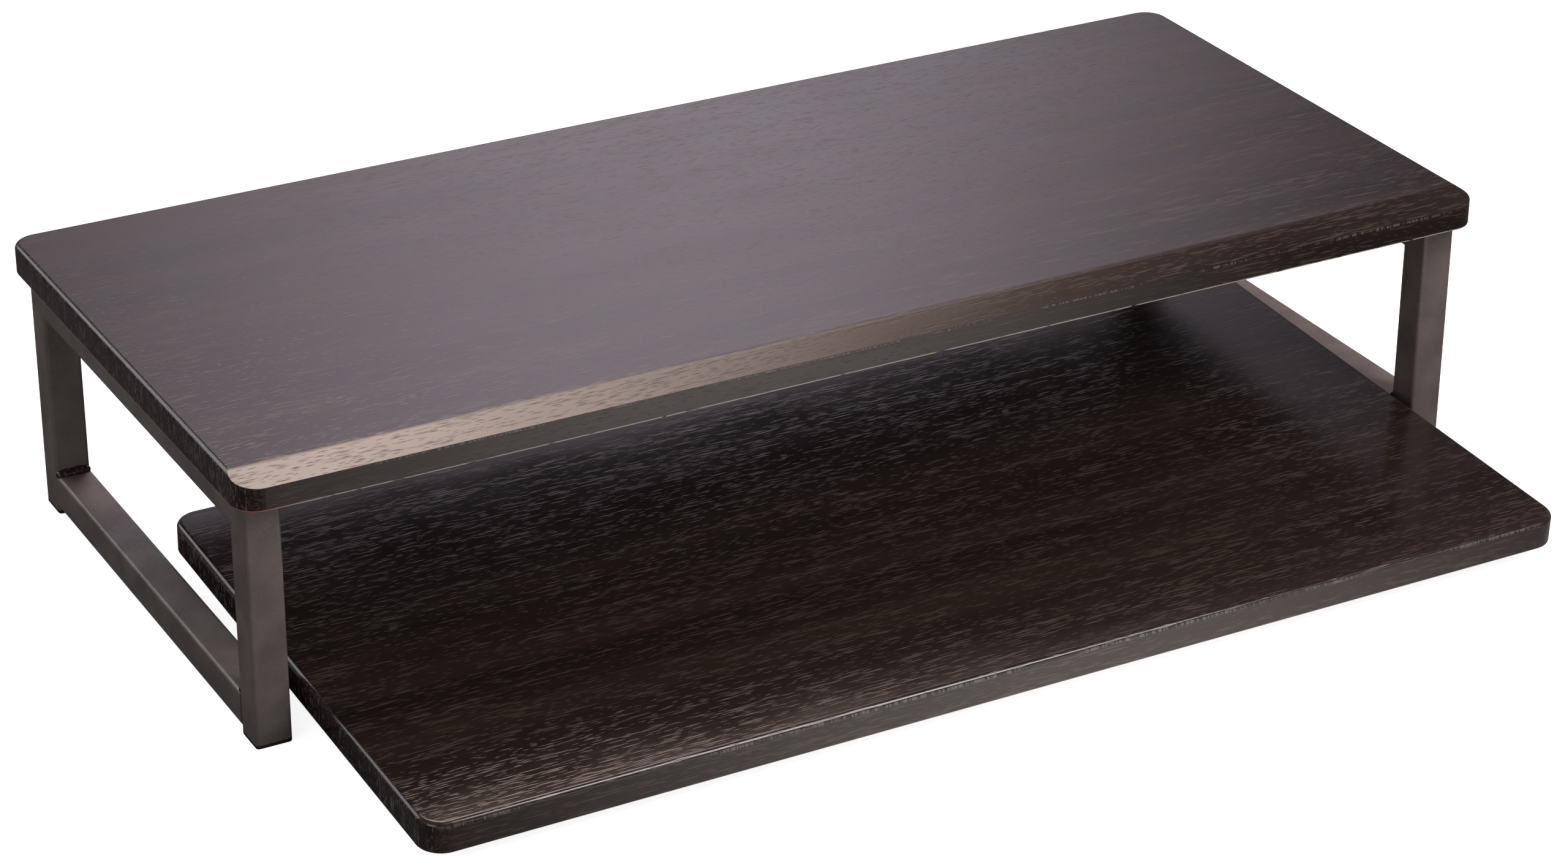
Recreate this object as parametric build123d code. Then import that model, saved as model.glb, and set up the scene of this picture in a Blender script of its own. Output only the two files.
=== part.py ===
from build123d import *
import math
import os

# Desk hutch: a board on two welded side frames, with a keyboard tray that rolls out from under it.
# Millimetres. +Z up, +X to the right and -Y to the front, seen by someone sitting at the desk.
# The pieces are laid out with y = 0 at the top board's front edge. Before export they all move along Y,
# so that the origin is on the desk, under the middle of the whole footprint with the tray at rest.

# Boards
top_width = 750.0
top_depth = 336.0
stand_height = 158.5
board_thickness = 17.5
board_corner_radius = 14.0
board_top_round = 3.0
board_bottom_round = 1.2
front_bevel_run = 20.0
front_bevel_drop = 4.2
bevel_blend_radius = 18.0

# Side frames
tube_size = 20.0
tube_wall = 1.5
tube_corner_radius = 2.2
frame_side_inset = 6.2
frame_end_inset = 13.0
lower_rail_lift = 2.0
weld_lump_radius = 2.3
weld_lump_pitch = 2.6

# Foot caps
cap_flange = 2.4
cap_rim_round = 1.0
cap_plug_length = 12.0
cap_plug_wall = 1.6
cap_plug_clearance = 0.1

# Screws and inserts that hold the top
screw_radius = 3.0
screw_head_radius = 5.5
screw_head_height = 3.3
screw_hole_clearance = 0.3
screw_thread_clearance = 0.05
hex_key_radius = 2.3
hex_key_depth = 2.0
insert_radius = 4.5
insert_length = 12.0
insert_clearance = 0.02
insert_bottom_gap = 1.0
screw_bite = 9.0
screw_end_distance = 60.0

# Tray
tray_side_gap = 7.8
tray_reach = 135.0
tray_slope = 2.4

# Front glides of the tray
glide_radius = 13.0
glide_height = 11.0
glide_dome_radius = 60.0
glide_from_front = 34.0
glide_from_side = 60.0
nail_radius = 1.4
nail_head_radius = 5.0
nail_head_height = 1.2
nail_head_depth = 4.0
nail_bite = 11.0
nail_clearance = 0.02

# Rear rollers of the tray
roller_radius = 9.5
roller_width = 10.0
roller_edge_round = 1.5
roller_from_rear = 36.0
roller_from_side = 60.0
roller_bore_clearance = 0.05
roller_side_clearance = 0.5
axle_radius = 2.0
axle_head_radius = 3.4
axle_head_height = 1.0
axle_hole_clearance = 0.02
bracket_plate = 1.5
bracket_length = 52.0
bracket_cheek_radius = 5.5
bracket_corner_radius = 3.0
wood_screw_radius = 1.75
wood_screw_head_radius = 3.3
wood_screw_head_height = 2.0
wood_screw_bite = 11.0
wood_screw_spacing = 38.0
wood_screw_clearance = 0.05
cross_slot_width = 0.9
cross_slot_length = 4.0
cross_slot_depth = 1.0

# Places that follow from those sizes
top_underside = stand_height - board_thickness
frame_left = -top_width / 2 + frame_side_inset
frame_front = frame_end_inset
frame_rear = top_depth - frame_end_inset
leg_bottom = cap_flange
lower_rail_bottom = leg_bottom + lower_rail_lift
lower_rail_top = lower_rail_bottom + tube_size
tube_bore = tube_size - 2 * tube_wall
rail_x = frame_left + tube_size / 2
tray_depth = top_depth
tray_width = top_width - 2 * (frame_side_inset + tube_size + tray_side_gap)
slope = math.radians(tray_slope)
roller_y = tray_depth - roller_from_rear
dome_centre_z = glide_dome_radius - glide_height
lift = (roller_y - glide_from_front) * math.sin(slope) + glide_dome_radius - roller_radius
axle_drop = lift / math.cos(slope) - dome_centre_z
tray_front_z = (glide_dome_radius - glide_from_front * math.sin(slope)
                - dome_centre_z * math.cos(slope))


def box(x0, x1, y0, y1, z0, z1):
    """A plain block between two corners."""
    return Pos((x0 + x1) / 2, (y0 + y1) / 2, (z0 + z1) / 2) * Box(x1 - x0, y1 - y0, z1 - z0)


def rod(radius, z0, z1, x=0.0, y=0.0):
    """A round bar along Z."""
    return Pos(x, y, z0) * extrude(Circle(radius), amount=z1 - z0)


def prism_along_x(corners, x0, x1):
    """A prism along X from its (y, z) corners."""
    outline = Plane.YZ.offset(x0) * make_face(Polyline(*corners, close=True))
    return extrude(outline, amount=x1 - x0)


def square_tube(length):
    """A square tube along Z, standing on z = 0, with rounded corners inside and out."""
    inner_radius = max(tube_corner_radius - tube_wall, 0.2)
    section = RectangleRounded(tube_size, tube_size, tube_corner_radius)
    section -= RectangleRounded(tube_bore, tube_bore, inner_radius)
    return extrude(section, amount=length)


def board(width, depth):
    """A board blank lying on z = 0 with its front edge at y = 0, and rounded corners in plan."""
    outline = Pos(0, depth / 2) * RectangleRounded(width, depth, board_corner_radius)
    return extrude(outline, amount=board_thickness)


def bottom_outline(solid):
    """The edges round the underside of a board."""
    return solid.faces().sort_by(Axis.Z)[0].outer_wire().edges()


def make_top_board():
    """The top: eased edges, then a shallow bevel that leaves a crisp arris, and blind insert holes."""
    blank = board(top_width, top_depth)
    blank = fillet(blank.faces().sort_by(Axis.Z)[-1].outer_wire().edges(), board_top_round)
    shaped = blank - bevel_cutter()
    shaped = fillet(bottom_outline(shaped), board_bottom_round)
    shaped = Pos(0, 0, top_underside) * shaped
    for x, y in insert_places():
        hole_top = top_underside + insert_length + insert_bottom_gap
        shaped -= rod(insert_radius + insert_clearance, top_underside - 1.0, hole_top, x, y)
    return shaped


def bevel_cutter():
    """What the bevel takes off the front: a sloping plane that blends into the top along an arc."""
    z = board_thickness
    over = 5.0
    fall = math.atan2(front_bevel_drop, front_bevel_run)
    blend_run = bevel_blend_radius * math.tan(fall / 2)
    on_top = (front_bevel_run + blend_run, z)
    half = fall / 2
    middle = (on_top[0] - bevel_blend_radius * math.sin(half),
              z - bevel_blend_radius * (1 - math.cos(half)))
    on_bevel = (on_top[0] - bevel_blend_radius * math.sin(fall),
                z - bevel_blend_radius * (1 - math.cos(fall)))
    low = (-over, z - front_bevel_drop - over * math.tan(fall))
    plane = Plane.YZ.offset(-top_width / 2 - over)
    outline = [ThreePointArc(on_top, middle, on_bevel), Line(on_bevel, low), Line(low, (-over, z + over)),
               Line((-over, z + over), (on_top[0], z + over)), Line((on_top[0], z + over), on_top)]
    return extrude(plane * make_face(outline), amount=top_width + 2 * over)


def insert_places():
    """Where the screws hold the top: two along each upper rail."""
    ends = (frame_front + screw_end_distance, frame_rear - screw_end_distance)
    return [(x, y) for x in (rail_x, -rail_x) for y in ends]


def make_leg(at_rear):
    """A left leg, cut at 45 degrees where it meets the upper rail."""
    leg = Pos(rail_x, frame_front + tube_size / 2, leg_bottom) * square_tube(top_underside - leg_bottom)
    over = 1.0
    y, z = frame_front, top_underside
    corner = prism_along_x([(y - over, z + over), (y + tube_size + over, z + over),
                            (y + tube_size + over, z - tube_size - over)],
                           frame_left - over, frame_left + tube_size + over)
    leg -= corner
    if at_rear:
        leg = mirror(leg, about=Plane.XZ.offset(-top_depth / 2))
    return leg


def make_upper_rail():
    """The left upper rail, cut at 45 degrees at both ends and drilled for its screws."""
    length = frame_rear - frame_front
    z_middle = top_underside - tube_size / 2
    rail = Pos(rail_x, frame_front, z_middle) * Rot(-90, 0, 0) * square_tube(length)
    over = 1.0
    y, z = frame_front, top_underside
    corner = prism_along_x([(y - over, z + over), (y - over, z - tube_size - over),
                            (y + tube_size + over, z - tube_size - over)],
                           frame_left - over, frame_left + tube_size + over)
    rail -= corner
    rail -= mirror(corner, about=Plane.XZ.offset(-top_depth / 2))
    for x, hole_y in insert_places():
        if x == rail_x:
            rail -= rod(screw_radius + screw_hole_clearance, z - tube_size - over, z + over, x, hole_y)
    return rail


def make_lower_rail():
    """The left lower rail, butted between the legs."""
    length = frame_rear - frame_front - 2 * tube_size
    rail = Rot(-90, 0, 0) * square_tube(length)
    return Pos(rail_x, frame_front + tube_size, lower_rail_bottom + tube_size / 2) * rail


def make_weld_beads():
    """The left frame's two beads: rows of lumps in the corners above the lower rail."""
    run = tube_size - 2 * tube_corner_radius
    count = int(run // weld_lump_pitch)
    first = rail_x - (count - 1) * weld_lump_pitch / 2
    beads = []
    for at_rear in (False, True):
        corner_y = frame_rear - tube_size if at_rear else frame_front + tube_size
        lumps = None
        for n in range(count):
            size = weld_lump_radius * (1.0 + 0.08 * math.sin(2.4 * n + at_rear))
            lump = Pos(first + n * weld_lump_pitch, corner_y, lower_rail_top) * Sphere(size)
            lumps = lump if lumps is None else lumps + lump
        reach = 2 * weld_lump_radius
        inward = -1 if at_rear else 1
        y0, y1 = sorted((corner_y, corner_y + inward * reach))
        keep = box(first - tube_size, first + 2 * tube_size, y0, y1, lower_rail_top, lower_rail_top + reach)
        beads += (lumps & keep).solids()
    return Compound(beads)


def make_foot_cap(at_rear):
    """A left foot cap: a rounded flange under the leg and a hollow plug up inside it."""
    flange = extrude(RectangleRounded(tube_size, tube_size, tube_corner_radius), amount=cap_flange)
    flange = fillet(flange.faces().sort_by(Axis.Z)[0].outer_wire().edges(), cap_rim_round)
    plug_size = tube_bore - 2 * cap_plug_clearance
    plug = RectangleRounded(plug_size, plug_size, 1.0)
    plug -= RectangleRounded(plug_size - 2 * cap_plug_wall, plug_size - 2 * cap_plug_wall, 0.5)
    cap = flange + Pos(0, 0, cap_flange) * extrude(plug, amount=cap_plug_length)
    y = frame_rear - tube_size / 2 if at_rear else frame_front + tube_size / 2
    return Pos(rail_x, y, 0) * cap


def make_top_screws():
    """The left frame's two M6 screws: heads under the rail, ends in the inserts."""
    seat = top_underside - tube_size
    screws = []
    for x, y in insert_places():
        if x == rail_x:
            head = fillet(rod(screw_head_radius, seat - screw_head_height, seat).edges()
                          .sort_by(Axis.Z)[0], 1.2)
            shank = rod(screw_radius, seat, top_underside + screw_bite)
            key = Pos(0, 0, seat - screw_head_height) * extrude(RegularPolygon(hex_key_radius, 6),
                                                                amount=hex_key_depth)
            screws.append(Pos(x, y, 0) * (head + shank - key))
    return Compound(screws)


def make_inserts():
    """The left frame's two threaded inserts, flush with the board's underside."""
    inserts = []
    for x, y in insert_places():
        if x == rail_x:
            sleeve = rod(insert_radius, top_underside, top_underside + insert_length)
            sleeve -= rod(screw_radius + screw_thread_clearance, top_underside - 1.0,
                          top_underside + insert_length + 1.0)
            inserts.append(Pos(x, y, 0) * sleeve)
    return Compound(inserts)


def on_tray(solid):
    """Takes a solid from the tray's own frame, underside at z = 0 and front edge at y = 0, to its place."""
    return Pos(0, -tray_reach, tray_front_z) * Rot(tray_slope, 0, 0) * solid


def glide_places():
    """The two front glides, in the tray's own frame."""
    x = tray_width / 2 - glide_from_side
    return [(-x, glide_from_front), (x, glide_from_front)]


def bracket_screw_places(side):
    """The two screws of one roller bracket, in the tray's own frame."""
    x = side * (tray_width / 2 - roller_from_side)
    return [(x, roller_y - wood_screw_spacing / 2), (x, roller_y + wood_screw_spacing / 2)]


def make_tray_board():
    """The tray: a plain board with eased edges, and holes for the nails and screws below."""
    slab = board(tray_width, tray_depth)
    slab = fillet(slab.faces().sort_by(Axis.Z)[-1].outer_wire().edges(), board_top_round)
    slab = fillet(bottom_outline(slab), board_bottom_round)
    for x, y in glide_places():
        slab -= rod(nail_radius + nail_clearance, -1.0, nail_bite + 0.5, x, y)
    for side in (-1, 1):
        for x, y in bracket_screw_places(side):
            slab -= rod(wood_screw_radius + wood_screw_clearance, -1.0, wood_screw_bite + 0.5, x, y)
    return on_tray(slab)


def make_nail(grow=0.0):
    """One glide's nail, in the glide's own frame with its top at z = 0."""
    head_top = -glide_height + nail_head_depth + nail_head_height
    nail = rod(nail_head_radius + grow, head_top - nail_head_height - grow, head_top + grow)
    return nail + rod(nail_radius + grow, head_top, nail_bite)


def make_glide(x, y):
    """A domed plastic glide, moulded round the head of its nail."""
    body = rod(glide_radius, -glide_height, 0.0)
    dome = Pos(0, 0, dome_centre_z) * Sphere(glide_dome_radius)
    body = body & dome
    body -= make_nail(nail_clearance)
    return on_tray(Pos(x, y, 0) * body)


def make_glide_nails():
    """Both nails."""
    return Compound([on_tray(Pos(x, y, 0) * make_nail()) for x, y in glide_places()])


def make_bracket(side):
    """A folded bracket: a plate screwed under the tray and two cheeks that hold the axle."""
    gap = roller_width + 2 * roller_side_clearance
    width = gap + 2 * bracket_plate
    plate = extrude(RectangleRounded(width, bracket_length, bracket_corner_radius), amount=-bracket_plate)
    cheek = prism_along_x([(-bracket_cheek_radius - 3.0, 0.0), (bracket_cheek_radius + 3.0, 0.0),
                           (bracket_cheek_radius, -axle_drop), (-bracket_cheek_radius, -axle_drop)],
                          gap / 2, width / 2)
    cheek += Pos(gap / 2, 0, -axle_drop) * Rot(0, 90, 0) * extrude(Circle(bracket_cheek_radius),
                                                                  amount=bracket_plate)
    folded = plate + cheek + mirror(cheek, about=Plane.YZ)
    bore = Pos(-width, 0, -axle_drop) * Rot(0, 90, 0)
    folded -= bore * extrude(Circle(axle_radius + axle_hole_clearance), amount=2 * width)
    x = side * (tray_width / 2 - roller_from_side)
    folded = Pos(x, roller_y, 0) * folded
    for screw_x, screw_y in bracket_screw_places(side):
        folded -= rod(wood_screw_radius + wood_screw_clearance, -bracket_plate - 1.0, 1.0, screw_x, screw_y)
    return on_tray(folded)


def make_bracket_screws(side):
    """One bracket's two pan-head wood screws with cross slots."""
    screws = []
    for x, y in bracket_screw_places(side):
        seat = -bracket_plate
        head = rod(wood_screw_head_radius, seat - wood_screw_head_height, seat)
        head = fillet(head.edges().sort_by(Axis.Z)[0], 0.9)
        screw = head + rod(wood_screw_radius, seat, wood_screw_bite)
        for turn in (0, 90):
            slot = Box(cross_slot_width, cross_slot_length, 2 * cross_slot_depth)
            screw -= Pos(0, 0, seat - wood_screw_head_height) * Rot(0, 0, turn) * slot
        screws.append(on_tray(Pos(x, y, 0) * screw))
    return Compound(screws)


def make_axle(side):
    """A riveted pin with a head at each end."""
    width = roller_width + 2 * roller_side_clearance + 2 * bracket_plate
    pin = Pos(0, 0, -width / 2) * extrude(Circle(axle_radius), amount=width)
    for end in (-1, 1):
        head = extrude(Circle(axle_head_radius), amount=end * axle_head_height)
        pin += Pos(0, 0, end * width / 2) * head
    x = side * (tray_width / 2 - roller_from_side)
    return on_tray(Pos(x, roller_y, -axle_drop) * Rot(0, 90, 0) * pin)


def make_roller(side):
    """A plastic roller that turns on its axle and stands on the desk."""
    wheel = Pos(0, 0, -roller_width / 2) * extrude(Circle(roller_radius), amount=roller_width)
    wheel = fillet(wheel.edges().filter_by(GeomType.CIRCLE), roller_edge_round)
    wheel -= Pos(0, 0, -roller_width) * extrude(Circle(axle_radius + roller_bore_clearance),
                                                amount=2 * roller_width)
    x = side * (tray_width / 2 - roller_from_side)
    return on_tray(Pos(x, roller_y, -axle_drop) * Rot(0, 90, 0) * wheel)


nodes = {"top_board": make_top_board(), "tray_board": make_tray_board()}
left_frame = {
    "front_{}_leg": make_leg(False),
    "rear_{}_leg": make_leg(True),
    "{}_upper_rail": make_upper_rail(),
    "{}_lower_rail": make_lower_rail(),
    "{}_weld_beads": make_weld_beads(),
    "front_{}_foot_cap": make_foot_cap(False),
    "rear_{}_foot_cap": make_foot_cap(True),
    "{}_top_screws": make_top_screws(),
    "{}_threaded_inserts": make_inserts(),
}
for name, piece in left_frame.items():
    nodes[name.format("left")] = piece
    nodes[name.format("right")] = mirror(piece, about=Plane.YZ)
for side_name, side in (("left", -1), ("right", 1)):
    nodes[side_name + "_front_glide"] = make_glide(*glide_places()[(side + 1) // 2])
    nodes[side_name + "_roller_bracket"] = make_bracket(side)
    nodes[side_name + "_bracket_screws"] = make_bracket_screws(side)
    nodes[side_name + "_roller_axle"] = make_axle(side)
    nodes[side_name + "_roller"] = make_roller(side)
nodes["glide_nails"] = make_glide_nails()

front_most = nodes["tray_board"].bounding_box().min.Y
rear_most = nodes["top_board"].bounding_box().max.Y
origin_y = (front_most + rear_most) / 2
os.makedirs("parts", exist_ok=True)
for name, piece in nodes.items():
    export_step(Pos(0, -origin_y, 0) * piece, "parts/" + name + ".step")

axle = on_tray(Pos(tray_width / 2 - roller_from_side, roller_y, -axle_drop)).position
print("right roller's centre", axle.X, axle.Y - origin_y, axle.Z)
print("origin is", origin_y, "behind the top's front edge")
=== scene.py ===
import math

import bpy
from mathutils import Matrix, Vector


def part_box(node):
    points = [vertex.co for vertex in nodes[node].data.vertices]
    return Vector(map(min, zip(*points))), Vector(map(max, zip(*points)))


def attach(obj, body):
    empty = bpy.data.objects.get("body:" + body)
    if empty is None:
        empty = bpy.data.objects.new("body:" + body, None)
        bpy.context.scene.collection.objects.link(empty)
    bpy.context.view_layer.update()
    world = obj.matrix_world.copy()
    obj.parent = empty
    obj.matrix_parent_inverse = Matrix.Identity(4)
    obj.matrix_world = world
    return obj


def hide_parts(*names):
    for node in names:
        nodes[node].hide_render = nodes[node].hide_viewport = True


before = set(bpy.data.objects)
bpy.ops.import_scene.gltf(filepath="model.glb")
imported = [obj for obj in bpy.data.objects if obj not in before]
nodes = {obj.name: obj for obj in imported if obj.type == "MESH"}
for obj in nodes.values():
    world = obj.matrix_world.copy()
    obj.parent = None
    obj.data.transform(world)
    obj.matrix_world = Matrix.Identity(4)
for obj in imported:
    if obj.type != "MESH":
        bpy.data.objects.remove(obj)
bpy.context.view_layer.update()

scene = bpy.context.scene

# ---- Camera ----
# A long lens stands to the front left of the stand and looks down on it, so that the board's long
# edges hardly converge.
aim = Vector((-0.038, -0.038, 0.080))
view_azimuth = math.radians(28.85)
view_elevation = math.radians(26.76)
view_distance = 2.263
camera_roll = math.radians(0.34)
camera = bpy.data.cameras.new("camera")
camera.lens = 96.0
camera.sensor_width = 36.0
camera.clip_start = 0.05
camera.clip_end = 50.0
camera_stand = bpy.data.objects.new("camera", camera)
scene.collection.objects.link(camera_stand)
toward_camera = Vector((-math.sin(view_azimuth) * math.cos(view_elevation),
                        -math.cos(view_azimuth) * math.cos(view_elevation),
                        math.sin(view_elevation)))
level_view = (-toward_camera).to_track_quat("-Z", "Y").to_matrix()
camera_stand.rotation_mode = "QUATERNION"
camera_stand.rotation_quaternion = (level_view @ Matrix.Rotation(camera_roll, 3, "Z")).to_quaternion()
camera_stand.location = aim + toward_camera * view_distance
scene.camera = camera_stand

# ---- Studio ----
# White paper for the camera, while the lacquer mirrors a dark table with a painted pool of light in
# front, a glowing patch on the table, a tall white card behind with a warm softbox above it, a tall
# narrow softbox in front, and cards at the left, at the front and at the camera's side.
paper_colour = (0.93, 0.93, 0.93, 1.0)
paper_glow = 0.86
table_colour = (0.09, 0.087, 0.090, 1.0)
painted_pool_colour = (1.0, 0.93, 0.90, 1.0)
painted_pool_middle = (0.04, -0.35, 0.0)
painted_pool_reach = 0.456
painted_pool_brightness = 1.7
white = (1.0, 1.0, 1.0, 1.0)
bpy.ops.object.select_all(action="DESELECT")
bpy.ops.mesh.primitive_plane_add(size=14.0, location=(0, 0, 0))
floor = bpy.context.object
floor.name = "floor"
paper = bpy.data.materials.new("white_paper")
paper.use_nodes = True
paper_shader = paper.node_tree.nodes["Principled BSDF"]
paper_shader.inputs["Base Color"].default_value = paper_colour
paper_shader.inputs["Roughness"].default_value = 0.9
paper_shader.inputs["Specular IOR Level"].default_value = 0.0
paper_shader.inputs["Emission Color"].default_value = white
paper_shader.inputs["Emission Strength"].default_value = paper_glow
table = paper.node_tree.nodes.new("ShaderNodeBsdfDiffuse")
table.inputs["Color"].default_value = table_colour
table_place = paper.node_tree.nodes.new("ShaderNodeTexCoord")
# Painted pool of light: the table glows in a soft round patch in front of the stand, seen in reflections
# and bounce light but not by the camera.
painted_pool_distance = paper.node_tree.nodes.new("ShaderNodeVectorMath")
painted_pool_distance.operation = "DISTANCE"
painted_pool_distance.inputs[1].default_value = painted_pool_middle
paper.node_tree.links.new(table_place.outputs["Object"], painted_pool_distance.inputs[0])
painted_pool_edge = paper.node_tree.nodes.new("ShaderNodeMapRange")
painted_pool_edge.interpolation_type = "SMOOTHSTEP"
painted_pool_edge.inputs["From Max"].default_value = painted_pool_reach
painted_pool_edge.inputs["To Min"].default_value = painted_pool_brightness
painted_pool_edge.inputs["To Max"].default_value = 0.0
paper.node_tree.links.new(painted_pool_distance.outputs["Value"], painted_pool_edge.inputs["Value"])
painted_pool_glow = paper.node_tree.nodes.new("ShaderNodeEmission")
painted_pool_glow.inputs["Color"].default_value = painted_pool_colour
paper.node_tree.links.new(painted_pool_edge.outputs["Result"], painted_pool_glow.inputs["Strength"])
table_with_painted_pool = paper.node_tree.nodes.new("ShaderNodeAddShader")
paper.node_tree.links.new(table.outputs["BSDF"], table_with_painted_pool.inputs[0])
paper.node_tree.links.new(painted_pool_glow.outputs["Emission"], table_with_painted_pool.inputs[1])
paper_ray = paper.node_tree.nodes.new("ShaderNodeLightPath")
paper_or_table = paper.node_tree.nodes.new("ShaderNodeMixShader")
paper.node_tree.links.new(paper_ray.outputs["Is Camera Ray"], paper_or_table.inputs["Fac"])
paper.node_tree.links.new(table_with_painted_pool.outputs["Shader"], paper_or_table.inputs[1])
paper.node_tree.links.new(paper_shader.outputs["BSDF"], paper_or_table.inputs[2])
paper.node_tree.links.new(paper_or_table.outputs["Shader"],
                          paper.node_tree.nodes["Material Output"].inputs["Surface"])
floor.data.materials.append(paper)

room_brightness = 0.22
seen_wall_brightness = 1.0
world = bpy.data.worlds.new("studio")
world.use_nodes = True
room = world.node_tree
room_light = room.nodes["Background"]
room_light.inputs["Color"].default_value = white
room_light.inputs["Strength"].default_value = room_brightness
seen_wall = room.nodes.new("ShaderNodeBackground")
seen_wall.inputs["Color"].default_value = white
seen_wall.inputs["Strength"].default_value = seen_wall_brightness
ray_kind = room.nodes.new("ShaderNodeLightPath")
wall_or_light = room.nodes.new("ShaderNodeMixShader")
room.links.new(ray_kind.outputs["Is Camera Ray"], wall_or_light.inputs["Fac"])
room.links.new(room_light.outputs["Background"], wall_or_light.inputs[1])
room.links.new(seen_wall.outputs["Background"], wall_or_light.inputs[2])
room.links.new(wall_or_light.outputs["Shader"], room.nodes["World Output"].inputs["Surface"])
scene.world = world
scene.view_settings.view_transform = "Standard"


def softbox(name, place, target, width, height, brightness, colour):
    """A flat soft light that faces its target and isn't seen by the camera."""
    light = bpy.data.lights.new(name, "AREA")
    light.shape = "RECTANGLE"
    light.size = width
    light.size_y = height
    light.energy = brightness * math.pi * width * height
    light.color = colour
    lamp = bpy.data.objects.new(name, light)
    scene.collection.objects.link(lamp)
    lamp.location = place
    lamp.rotation_euler = (Vector(target) - Vector(place)).to_track_quat("-Z", "Y").to_euler()
    lamp.visible_camera = False


softbox("left_card", place=(-1.20, 1.7, 1.20), target=(-0.37, -0.1, 0.15), width=1.3, height=1.3,
        brightness=2.4, colour=(1.0, 0.98, 1.0))
softbox("front_softbox", place=(0.80, -1.25, 1.75), target=(0.0, -0.1, 0.1), width=0.45, height=1.3,
        brightness=16.0, colour=(1.0, 0.96, 0.94))
softbox("front_card", place=(1.3, -2.4, 0.35), target=(0.0, -0.1, 0.1), width=1.8, height=0.7,
        brightness=1.6, colour=(1.0, 0.97, 0.94))
softbox("camera_side_card", place=(-2.2, -1.2, 1.0), target=(0.0, 0.0, 0.1), width=1.2, height=1.2,
        brightness=2.4, colour=(1.0, 0.96, 0.92))

scrim_middle = 0.90
scrim_behind = 2.0
scrim_width = 3.6
scrim_bottom = 0.70
scrim_top = 5.20
scrim_spread = 0.53
card_top = 2.25
card_edge_blur = 0.08
card_brightness = 1.58
card_colour = (0.98, 0.87, 1.0, 1.0)
softbox_shift = 0.13
softbox_brightness = 9.2
softbox_colour = (1.0, 0.79, 0.70, 1.0)
bpy.ops.mesh.primitive_plane_add(size=1.0, rotation=(math.radians(90), 0, 0),
                                 location=(scrim_middle, scrim_behind, (scrim_bottom + scrim_top) / 2))
scrim = bpy.context.object
scrim.name = "rear_scrim"
scrim.scale = (scrim_width, scrim_top - scrim_bottom, 1.0)
bpy.ops.object.transform_apply(location=True, rotation=True, scale=True)
scrim.visible_camera = False
glow = bpy.data.materials.new("lit_scrim")
glow.use_nodes = True
glow_tree = glow.node_tree
glow_tree.nodes.remove(glow_tree.nodes["Principled BSDF"])
scrim_place = glow_tree.nodes.new("ShaderNodeTexCoord")
scrim_axes = glow_tree.nodes.new("ShaderNodeSeparateXYZ")
glow_tree.links.new(scrim_place.outputs["Object"], scrim_axes.inputs["Vector"])
above_card = glow_tree.nodes.new("ShaderNodeMapRange")
above_card.interpolation_type = "SMOOTHSTEP"
above_card.inputs["From Min"].default_value = card_top - card_edge_blur
above_card.inputs["From Max"].default_value = card_top + card_edge_blur
glow_tree.links.new(scrim_axes.outputs["Z"], above_card.inputs["Value"])
shifted = glow_tree.nodes.new("ShaderNodeMath")
shifted.operation = "MULTIPLY_ADD"
shifted.inputs[1].default_value = softbox_shift
glow_tree.links.new(above_card.outputs["Result"], shifted.inputs[0])
glow_tree.links.new(scrim_axes.outputs["X"], shifted.inputs[2])

# Across the scrim the brightness falls off to both sides of its middle as a bell curve.
scrim_steps = [shifted]
for operation, number in (("SUBTRACT", scrim_middle), ("DIVIDE", scrim_spread), ("POWER", 2.0),
                          ("MULTIPLY", -0.5), ("EXPONENT", 0.0)):
    step = glow_tree.nodes.new("ShaderNodeMath")
    step.operation = operation
    glow_tree.links.new(scrim_steps[-1].outputs["Value"], step.inputs[0])
    step.inputs[1].default_value = number
    scrim_steps.append(step)
strength = glow_tree.nodes.new("ShaderNodeMapRange")
strength.inputs["To Min"].default_value = card_brightness
strength.inputs["To Max"].default_value = softbox_brightness
glow_tree.links.new(above_card.outputs["Result"], strength.inputs["Value"])
falloff = glow_tree.nodes.new("ShaderNodeMath")
falloff.operation = "MULTIPLY"
glow_tree.links.new(strength.outputs["Result"], falloff.inputs[0])
glow_tree.links.new(scrim_steps[-1].outputs["Value"], falloff.inputs[1])
warmth = glow_tree.nodes.new("ShaderNodeMix")
warmth.data_type = "RGBA"
glow_tree.links.new(above_card.outputs["Result"], warmth.inputs[0])
warmth.inputs[6].default_value = card_colour
warmth.inputs[7].default_value = softbox_colour
emitter = glow_tree.nodes.new("ShaderNodeEmission")
glow_tree.links.new(warmth.outputs[2], emitter.inputs["Color"])
glow_tree.links.new(falloff.outputs["Value"], emitter.inputs["Strength"])
glow_tree.links.new(emitter.outputs["Emission"], glow_tree.nodes["Material Output"].inputs["Surface"])
scrim.data.materials.append(glow)

# ---- Side frames ----
# Two frames of 20 mm square steel tube: mitred legs and upper rail, and a lower rail butted between
# the legs. They are welded, ground and powder coated in a dark bronze with a fine metal fleck.
frame_tubes = ["front_left_leg", "rear_left_leg", "left_upper_rail", "left_lower_rail",
               "front_right_leg", "rear_right_leg", "right_upper_rail", "right_lower_rail"]
bronze_dark = (0.132, 0.110, 0.107)
bronze_light = (0.192, 0.162, 0.155)
fleck_colour = (0.34, 0.29, 0.25)
fleck_size = 0.0004
fleck_share = 0.28
fleck_strength = 0.6
orange_peel_size = 0.0019
orange_peel_depth = 0.00005
noise_range = (0.3, 0.7)
tone_clouds_per_metre = 45.0
grit_per_metre = 2600.0
grit_height = 0.25
coat_metallic = (0.25, 0.7)
coat_roughness = (0.40, 0.52)


def start_material(name):
    """A new material, its node tree, its surface shader and the object's own coordinates."""
    material = bpy.data.materials.new(name)
    material.use_nodes = True
    tree = material.node_tree
    coordinates = tree.nodes.new("ShaderNodeTexCoord")
    return material, tree, tree.nodes["Principled BSDF"], coordinates


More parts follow.
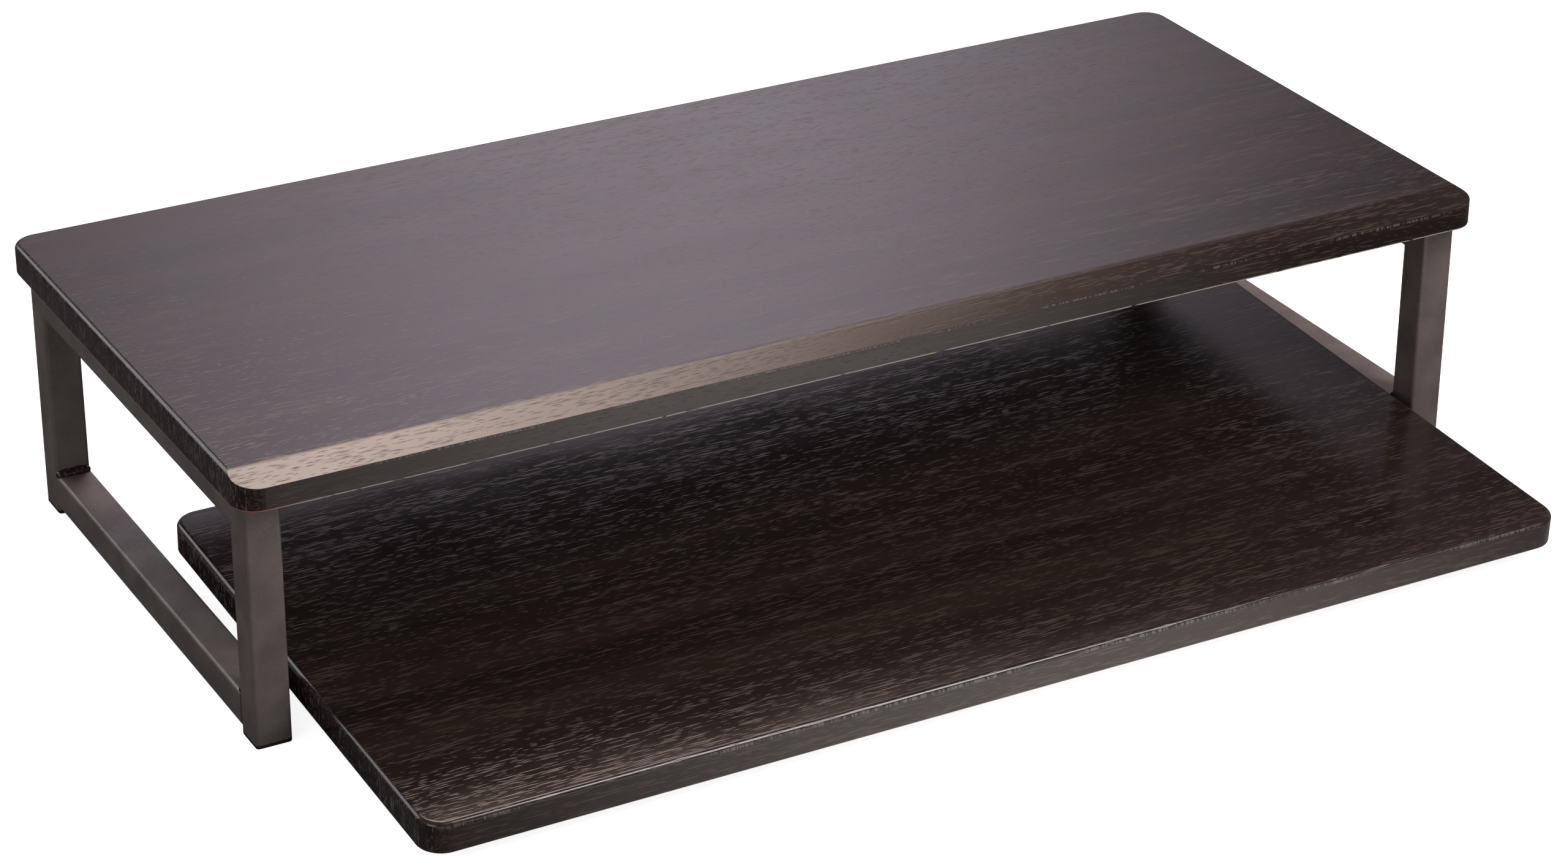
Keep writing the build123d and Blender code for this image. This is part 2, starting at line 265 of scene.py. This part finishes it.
def stretch(tree, vector, per_metre, shift=(0.0, 0.0, 0.0)):
    """Coordinates scaled to so many pattern cells per metre along X, Y and Z."""
    mapping = tree.nodes.new("ShaderNodeMapping")
    mapping.inputs["Scale"].default_value = per_metre
    mapping.inputs["Location"].default_value = shift
    tree.links.new(vector, mapping.inputs["Vector"])
    return mapping.outputs["Vector"]


def clouds(tree, vector, detail=2.0):
    """Soft noise, about 0.5 on average and mostly within noise_range."""
    noise = tree.nodes.new("ShaderNodeTexNoise")
    noise.inputs["Scale"].default_value = 1.0
    noise.inputs["Detail"].default_value = detail
    tree.links.new(vector, noise.inputs["Vector"])
    return noise.outputs["Fac"]


def cells(tree, vector):
    """Scattered cells, one to a unit: the distance to the middle, and a random colour each."""
    scatter = tree.nodes.new("ShaderNodeTexVoronoi")
    scatter.inputs["Scale"].default_value = 1.0
    tree.links.new(vector, scatter.inputs["Vector"])
    return scatter.outputs["Distance"], scatter.outputs["Color"]


def put(tree, socket, value):
    """Links a value to a socket, or sets the socket to a plain number or colour."""
    if isinstance(value, bpy.types.NodeSocket):
        tree.links.new(value, socket)
    elif isinstance(value, tuple) and len(value) == 3 and socket.type == "RGBA":
        socket.default_value = (*value, 1.0)
    else:
        socket.default_value = value


def ramp(tree, value, low, high, to_low=0.0, to_high=1.0):
    """The value's range from low to high, eased to another range."""
    mapping = tree.nodes.new("ShaderNodeMapRange")
    mapping.interpolation_type = "SMOOTHSTEP"
    for name, number in (("Value", value), ("From Min", low), ("From Max", high),
                         ("To Min", to_low), ("To Max", to_high)):
        put(tree, mapping.inputs[name], number)
    return mapping.outputs["Result"]


def sums(tree, operation, first, second=0.0):
    """One step of arithmetic on two values."""
    step = tree.nodes.new("ShaderNodeMath")
    step.operation = operation
    put(tree, step.inputs[0], first)
    put(tree, step.inputs[1], second)
    return step.outputs["Value"]


def tint(tree, amount, under, over):
    """One colour over another, by amount."""
    mix = tree.nodes.new("ShaderNodeMix")
    mix.data_type = "RGBA"
    put(tree, mix.inputs[0], amount)
    put(tree, mix.inputs[6], under)
    put(tree, mix.inputs[7], over)
    return mix.outputs[2]


def relief(tree, height, depth, under=None):
    """A surface normal raised by height times depth in metres, over another one if given."""
    bump = tree.nodes.new("ShaderNodeBump")
    bump.inputs["Distance"].default_value = depth
    put(tree, bump.inputs["Height"], height)
    if under is not None:
        put(tree, bump.inputs["Normal"], under)
    return bump.outputs["Normal"]


def paint(names, material):
    """Gives CAD pieces their finish."""
    for name in names:
        for place in nodes[name].material_slots:
            place.material = material


def make_powder_coat():
    """Dark bronze powder coat: cloudy tone, metal flecks and a fine orange peel."""
    material, tree, shader, coordinates = start_material("bronze_powder_coat")
    where = coordinates.outputs["Object"]
    tone = clouds(tree, stretch(tree, where, (tone_clouds_per_metre,) * 3), detail=4.0)
    grit = clouds(tree, stretch(tree, where, (grit_per_metre,) * 3), detail=1.0)
    peel = clouds(tree, stretch(tree, where, (1 / orange_peel_size,) * 3), detail=2.0)
    colour = tint(tree, ramp(tree, tone, *noise_range), bronze_dark, bronze_light)
    _, chance = cells(tree, stretch(tree, where, (1 / fleck_size,) * 3))
    shade = tree.nodes.new("ShaderNodeSeparateColor")
    tree.links.new(chance, shade.inputs["Color"])
    fleck = ramp(tree, shade.outputs["Red"], 1.0 - fleck_share, 1.0)
    colour = tint(tree, sums(tree, "MULTIPLY", fleck, fleck_strength), colour, fleck_colour)
    tree.links.new(colour, shader.inputs["Base Color"])
    put(tree, shader.inputs["Metallic"], ramp(tree, fleck, 0.0, 1.0, *coat_metallic))
    put(tree, shader.inputs["Roughness"], ramp(tree, grit, *noise_range, *coat_roughness))
    height = sums(tree, "ADD", peel, sums(tree, "MULTIPLY", grit, grit_height))
    put(tree, shader.inputs["Normal"], relief(tree, height, orange_peel_depth))
    return material


paint(frame_tubes, make_powder_coat())

# ---- Weld beads ----
# A fat lumpy bead in each inside corner above the lower rails, laid by hand from one side of the tube
# to the other. The coat runs thin and dark over it.
bead_lumps = [(-0.0074, 0.0029), (-0.0042, 0.0036), (-0.0008, 0.0033), (0.0029, 0.0038), (0.0068, 0.0030)]
bead_sink = 0.0006
bead_squash = (1.05, 0.92, 0.86)
bead_cell = 0.0004
bead_smoothing = 0.6
bead_smoothing_passes = 3
crests_per_metre = (420.0, 420.0, 420.0)
crest_range = (0.54, 0.72)
ripples_per_metre = (1500.0, 500.0, 900.0)
ripple_height = 0.4
bead_relief = 0.0003
bead_metallic = 0.2
bead_roughness = (0.24, 0.42)
burnt_dark = (0.020, 0.012, 0.011)
burnt_light = (0.110, 0.080, 0.072)

bpy.ops.object.select_all(action="DESELECT")
lumps = []
for along, radius in bead_lumps:
    bpy.ops.mesh.primitive_uv_sphere_add(segments=24, ring_count=14, radius=radius,
                                         location=(along, -bead_sink, bead_sink))
    lump = bpy.context.object
    lump.scale = bead_squash
    lumps.append(lump)
for lump in lumps:
    lump.select_set(True)
bpy.ops.object.transform_apply(location=True, rotation=True, scale=True)
bpy.ops.object.join()
bead = bpy.context.object
fuse = bead.modifiers.new("fuse", "REMESH")
fuse.mode = "VOXEL"
fuse.voxel_size = bead_cell
bpy.ops.object.modifier_apply(modifier="fuse")
soften = bead.modifiers.new("soften", "SMOOTH")
soften.factor = bead_smoothing
soften.iterations = bead_smoothing_passes
bpy.ops.object.modifier_apply(modifier="soften")
bpy.ops.object.shade_smooth()


def make_burnt_weld():
    """A weld under a thin glossy coat: brown-black with paler crests, and fine ripples."""
    material, tree, shader, coordinates = start_material("coated_weld")
    where = coordinates.outputs["Object"]
    crests = clouds(tree, stretch(tree, where, crests_per_metre), detail=3.0)
    ripples = clouds(tree, stretch(tree, where, ripples_per_metre), detail=2.0)
    tree.links.new(tint(tree, ramp(tree, crests, *crest_range), burnt_dark, burnt_light),
                   shader.inputs["Base Color"])
    shader.inputs["Metallic"].default_value = bead_metallic
    put(tree, shader.inputs["Roughness"], ramp(tree, ripples, *noise_range, *bead_roughness))
    height = sums(tree, "ADD", crests, sums(tree, "MULTIPLY", ripples, ripple_height))
    put(tree, shader.inputs["Normal"], relief(tree, height, bead_relief))
    return material


bead.data.materials.append(make_burnt_weld())
for side in ("left", "right"):
    rail_low, rail_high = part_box(side + "_lower_rail")
    rail_middle = (rail_low.x + rail_high.x) / 2
    corners = [(rail_middle, rail_high.y, 0.0), (rail_middle, rail_low.y, math.pi)]
    bpy.ops.object.select_all(action="DESELECT")
    for across, depth, turn in corners:
        copy = bead.copy()
        copy.data = bead.data.copy()
        scene.collection.objects.link(copy)
        copy.location = (across, depth, rail_high.z)
        copy.rotation_euler = (0.0, 0.0, turn)
        copy.select_set(True)
        bpy.context.view_layer.objects.active = copy
    bpy.ops.object.transform_apply(location=True, rotation=True, scale=True)
    bpy.ops.object.join()
    weld = bpy.context.object
    weld.name = side + "_welds"
    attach(weld, "stand")
    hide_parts(side + "_weld_beads")
bpy.data.objects.remove(bead)

# ---- Foot caps ----
# Black moulded caps pushed into the open ends of the legs, with a rounded flange under the tube.
foot_caps = ["front_left_foot_cap", "rear_left_foot_cap", "front_right_foot_cap", "rear_right_foot_cap"]
spark_grain_per_metre = 2200.0
spark_grain_depth = 0.00002
moulding_flow = (120.0, 120.0, 260.0)
flow_range = (0.35, 0.75)


def make_moulded_plastic(name, colour, worn_colour, roughness):
    """Moulded plastic with a faint spark-eroded grain and a slightly uneven gloss."""
    material, tree, shader, coordinates = start_material(name)
    where = coordinates.outputs["Object"]
    grain = clouds(tree, stretch(tree, where, (spark_grain_per_metre,) * 3), detail=2.0)
    flow = clouds(tree, stretch(tree, where, moulding_flow), detail=3.0)
    tree.links.new(tint(tree, ramp(tree, flow, *flow_range), colour, worn_colour),
                   shader.inputs["Base Color"])
    put(tree, shader.inputs["Roughness"], ramp(tree, flow, *noise_range, *roughness))
    put(tree, shader.inputs["Normal"], relief(tree, grain, spark_grain_depth))
    return material


paint(foot_caps, make_moulded_plastic("black_plastic", colour=(0.012, 0.012, 0.013),
                                      worn_colour=(0.022, 0.022, 0.022), roughness=(0.38, 0.52)))

# ---- Top board ----
# Solid boards glued side by side, planed, bevelled along the front and stained almost black. The
# satin lacquer is thin, so the open pores still show as short dashes along the grain.
stain_dark = (0.0075, 0.0042, 0.0036)
stain_light = (0.0200, 0.0112, 0.0088)
pore_colour = (0.050, 0.034, 0.028)
end_grain_colour = (0.115, 0.095, 0.098)

# How many to a metre: along the grain, across it, and up an end face.
growth_bands = (1.6, 42.0, 9.0)
pore_clusters = (9.0, 150.0, 40.0)
long_pore_cells = (42.0, 700.0, 110.0)
short_pore_cells = (105.0, 1200.0, 260.0)
fibre_lines = (20.0, 1800.0, 60.0)

# A pore's half width is a share of its cell, and it is widest where the pores cluster.
cluster_range = (0.36, 0.62)
pore_width = (0.20, 0.40)
short_pore_share = 0.8
full_pore = 0.35
fibre_range = (0.56, 0.74)
fibre_strength = 0.5
pore_depth = 0.00006

# How squarely a surface must face along the board to be an end, and forward to be the front.
end_face_limit = 0.62
front_face_limit = -0.75

# The lacquer: smooth flats, slightly duller pores, and long low waves.
lacquer_roughness = (0.15, 0.20)
pore_dulling = 0.05
gloss_patches = (14.0, 30.0, 30.0)
lacquer_waves = (26.0, 300.0, 300.0)
lacquer_wave_depth = 0.000005

# Ticks that a chattering cutter left in a band along the front, with a pale colour painted on them as
# glints of light. How far below the band's upper end it starts, is full, and begins to fade.
chatter_start = 0.0022
chatter_full = 0.0012
chatter_fade = 0.0004
painted_glint_colour = (0.26, 0.235, 0.23)
painted_glint_strength = 0.35
chatter_depth = 0.0001
chatter_patches = (20.0, 1.0, 60.0)
patch_range = (0.42, 0.56)
chatter_ticks = (1050.0, 1.0, 90.0)
tick_range = (0.45, 0.65)

# A pale broken line along the bottom arris, and raw wood at the front left corner.
pale_arris_colour = (0.70, 0.62, 0.56)
raw_wood = (0.46, 0.13, 0.06)
arris_start = 0.0007
arris_height = 0.0013
raw_reach = (0.012, 0.034)
arris_line_patches = (110.0, 110.0, 300.0)
arris_line_range = (0.30, 0.46)
top_low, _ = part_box("top_board")


def groove(tree, distance, reach):
    """A V-shaped pore: one at its middle line, falling evenly to nothing at its reach."""
    return sums(tree, "MAXIMUM", sums(tree, "SUBTRACT", 1.0, sums(tree, "DIVIDE", distance, reach)), 0.0)


def make_dark_wood(name, shift, chatter_height, worn_corner=None):
    """Stained open-pored wood, its grain along X, with end grain where the surface faces X.

    The cutter has left short upright ticks along the front, in a band that ends at chatter_height, and a
    pale colour is painted on them as glints of light.
    """
    material, tree, shader, coordinates = start_material(name)
    where = stretch(tree, coordinates.outputs["Object"], (1.0, 1.0, 1.0), shift)
    facing = tree.nodes.new("ShaderNodeSeparateXYZ")
    tree.links.new(coordinates.outputs["Normal"], facing.inputs["Vector"])
    end_face = sums(tree, "GREATER_THAN", sums(tree, "ABSOLUTE", facing.outputs["X"]), end_face_limit)

    def grain(along, across, up):
        """Coordinates stretched along the grain, or upright on an end face."""
        mix = tree.nodes.new("ShaderNodeMix")
        mix.data_type = "VECTOR"
        put(tree, mix.inputs[0], end_face)
        tree.links.new(stretch(tree, where, (along, across, across)), mix.inputs[4])
        tree.links.new(stretch(tree, where, (across, across, up)), mix.inputs[5])
        return mix.outputs[1]

    growth = clouds(tree, grain(*growth_bands), detail=3.0)
    clusters = clouds(tree, grain(*pore_clusters), detail=3.0)
    reach = ramp(tree, clusters, *cluster_range, *pore_width)
    long_pores, _ = cells(tree, grain(*long_pore_cells))
    short_pores, _ = cells(tree, grain(*short_pore_cells))
    fibres = clouds(tree, grain(*fibre_lines), detail=2.0)
    grooves = sums(tree, "MAXIMUM", groove(tree, long_pores, reach),
                   sums(tree, "MULTIPLY", groove(tree, short_pores, reach), short_pore_share))
    pores = sums(tree, "MAXIMUM", ramp(tree, grooves, 0.0, full_pore),
                 ramp(tree, fibres, *fibre_range, 0.0, fibre_strength))
    colour = tint(tree, ramp(tree, growth, *noise_range), stain_dark, stain_light)
    colour = tint(tree, pores, colour, tint(tree, end_face, pore_colour, end_grain_colour))
    place = tree.nodes.new("ShaderNodeSeparateXYZ")
    tree.links.new(coordinates.outputs["Object"], place.inputs["Vector"])
    level = place.outputs["Z"]
    front_face = sums(tree, "LESS_THAN", facing.outputs["Y"], front_face_limit)
    band = sums(tree, "MULTIPLY",
                ramp(tree, level, chatter_height - chatter_start, chatter_height - chatter_full),
                ramp(tree, level, chatter_height - chatter_fade, chatter_height, 1.0, 0.0))
    struck = ramp(tree, clouds(tree, stretch(tree, where, chatter_patches), detail=3.0), *patch_range)
    _, tick = cells(tree, stretch(tree, where, chatter_ticks))
    tick_shade = tree.nodes.new("ShaderNodeSeparateColor")
    tree.links.new(tick, tick_shade.inputs["Color"])
    ticks_and_painted_glints = sums(tree, "MULTIPLY", ramp(tree, tick_shade.outputs["Red"], *tick_range),
                   sums(tree, "MULTIPLY", sums(tree, "MULTIPLY", band, struck), front_face))
    # Painted glints: a pale colour on the ticks stands in for the light they catch; the bump further down
    # is the ticks themselves.
    colour = tint(tree, sums(tree, "MULTIPLY", ticks_and_painted_glints, painted_glint_strength), colour, painted_glint_colour)
    if worn_corner is not None:
        low = ramp(tree, level, worn_corner.z + arris_start, worn_corner.z + arris_height, 1.0, 0.0)
        patchy = clouds(tree, stretch(tree, coordinates.outputs["Object"], arris_line_patches), detail=3.0)
        # A pale colour laid in patches along the bottom arris.
        pale_arris_line = sums(tree, "MULTIPLY", low, ramp(tree, patchy, *arris_line_range))
        colour = tint(tree, pale_arris_line, colour, pale_arris_colour)
        reach_out = tree.nodes.new("ShaderNodeVectorMath")
        reach_out.operation = "DISTANCE"
        tree.links.new(coordinates.outputs["Object"], reach_out.inputs[0])
        reach_out.inputs[1].default_value = worn_corner
        near = ramp(tree, reach_out.outputs["Value"], *raw_reach, 1.0, 0.0)
        colour = tint(tree, sums(tree, "MULTIPLY", near, low), colour, raw_wood)
    tree.links.new(colour, shader.inputs["Base Color"])
    gloss = clouds(tree, stretch(tree, where, gloss_patches), detail=3.0)
    sheen = ramp(tree, gloss, *noise_range, *lacquer_roughness)
    dulled = sums(tree, "ADD", sheen, sums(tree, "MULTIPLY", pores, pore_dulling))
    put(tree, shader.inputs["Roughness"], dulled)
    waves = clouds(tree, stretch(tree, where, lacquer_waves), detail=2.0)
    surface = relief(tree, waves, lacquer_wave_depth)
    surface = relief(tree, sums(tree, "SUBTRACT", 1.0, grooves), pore_depth, surface)
    surface = relief(tree, sums(tree, "SUBTRACT", 1.0, ticks_and_painted_glints), chatter_depth, surface)
    put(tree, shader.inputs["Normal"], surface)
    return material


paint(["top_board"], make_dark_wood("espresso_wood_top", shift=(0.31, 0.17, 0.05), chatter_height=0.1543,
                                    worn_corner=top_low))

# ---- Screws and inserts ----
# Blackened button-head screws come up through the upper rails into threaded brass inserts, which are
# driven into blind holes in the underside of the top.
brushing_lines = (900.0, 5200.0, 2600.0)
brushing_depth = 0.00001


def make_metal(name, colour, second_colour, roughness, patch_size):
    """Bare or plated metal: crystal patches of slightly different tone, and a faint brushing."""
    material, tree, shader, coordinates = start_material(name)
    where = coordinates.outputs["Object"]
    _, crystals = cells(tree, stretch(tree, where, (1 / patch_size,) * 3))
    shade = tree.nodes.new("ShaderNodeSeparateColor")
    tree.links.new(crystals, shade.inputs["Color"])
    brushing = clouds(tree, stretch(tree, where, brushing_lines), detail=2.0)
    tree.links.new(tint(tree, shade.outputs["Red"], colour, second_colour), shader.inputs["Base Color"])
    shader.inputs["Metallic"].default_value = 1.0
    put(tree, shader.inputs["Roughness"], ramp(tree, shade.outputs["Green"], 0.0, 1.0, *roughness))
    put(tree, shader.inputs["Normal"], relief(tree, brushing, brushing_depth))
    return material


paint(["left_top_screws", "right_top_screws"],
      make_metal("black_oxide", colour=(0.030, 0.030, 0.034), second_colour=(0.048, 0.047, 0.050),
                 roughness=(0.34, 0.46), patch_size=0.002))
paint(["left_threaded_inserts", "right_threaded_inserts"],
      make_metal("brass", colour=(0.66, 0.46, 0.20), second_colour=(0.74, 0.54, 0.26),
                 roughness=(0.26, 0.36), patch_size=0.003))

# ---- Tray board ----
# The same stained wood in one plain board with eased edges, a little narrower than the gap between
# the frames.
paint(["tray_board"], make_dark_wood("espresso_wood_tray", shift=(1.37, 0.63, 0.41),
                                     chatter_height=0.0258))

# ---- Glides ----
# Two domed glides of grey plastic under the front of the tray, each moulded round the nail that holds
# it there.
grey_plastic = make_moulded_plastic("grey_plastic", colour=(0.16, 0.16, 0.165),
                                    worn_colour=(0.21, 0.21, 0.21), roughness=(0.36, 0.50))
zinc = make_metal("zinc_plate", colour=(0.58, 0.60, 0.64), second_colour=(0.68, 0.69, 0.70),
                  roughness=(0.24, 0.36), patch_size=0.004)
paint(["left_front_glide", "right_front_glide"], grey_plastic)
paint(["glide_nails"], zinc)

# ---- Rollers ----
# A plastic roller on a riveted pin at each rear corner of the tray, in a folded bracket of plated
# sheet that two wood screws hold.
paint(["left_roller", "right_roller"], grey_plastic)
paint(["left_roller_bracket", "right_roller_bracket", "left_bracket_screws", "right_bracket_screws",
       "left_roller_axle", "right_roller_axle"], zinc)
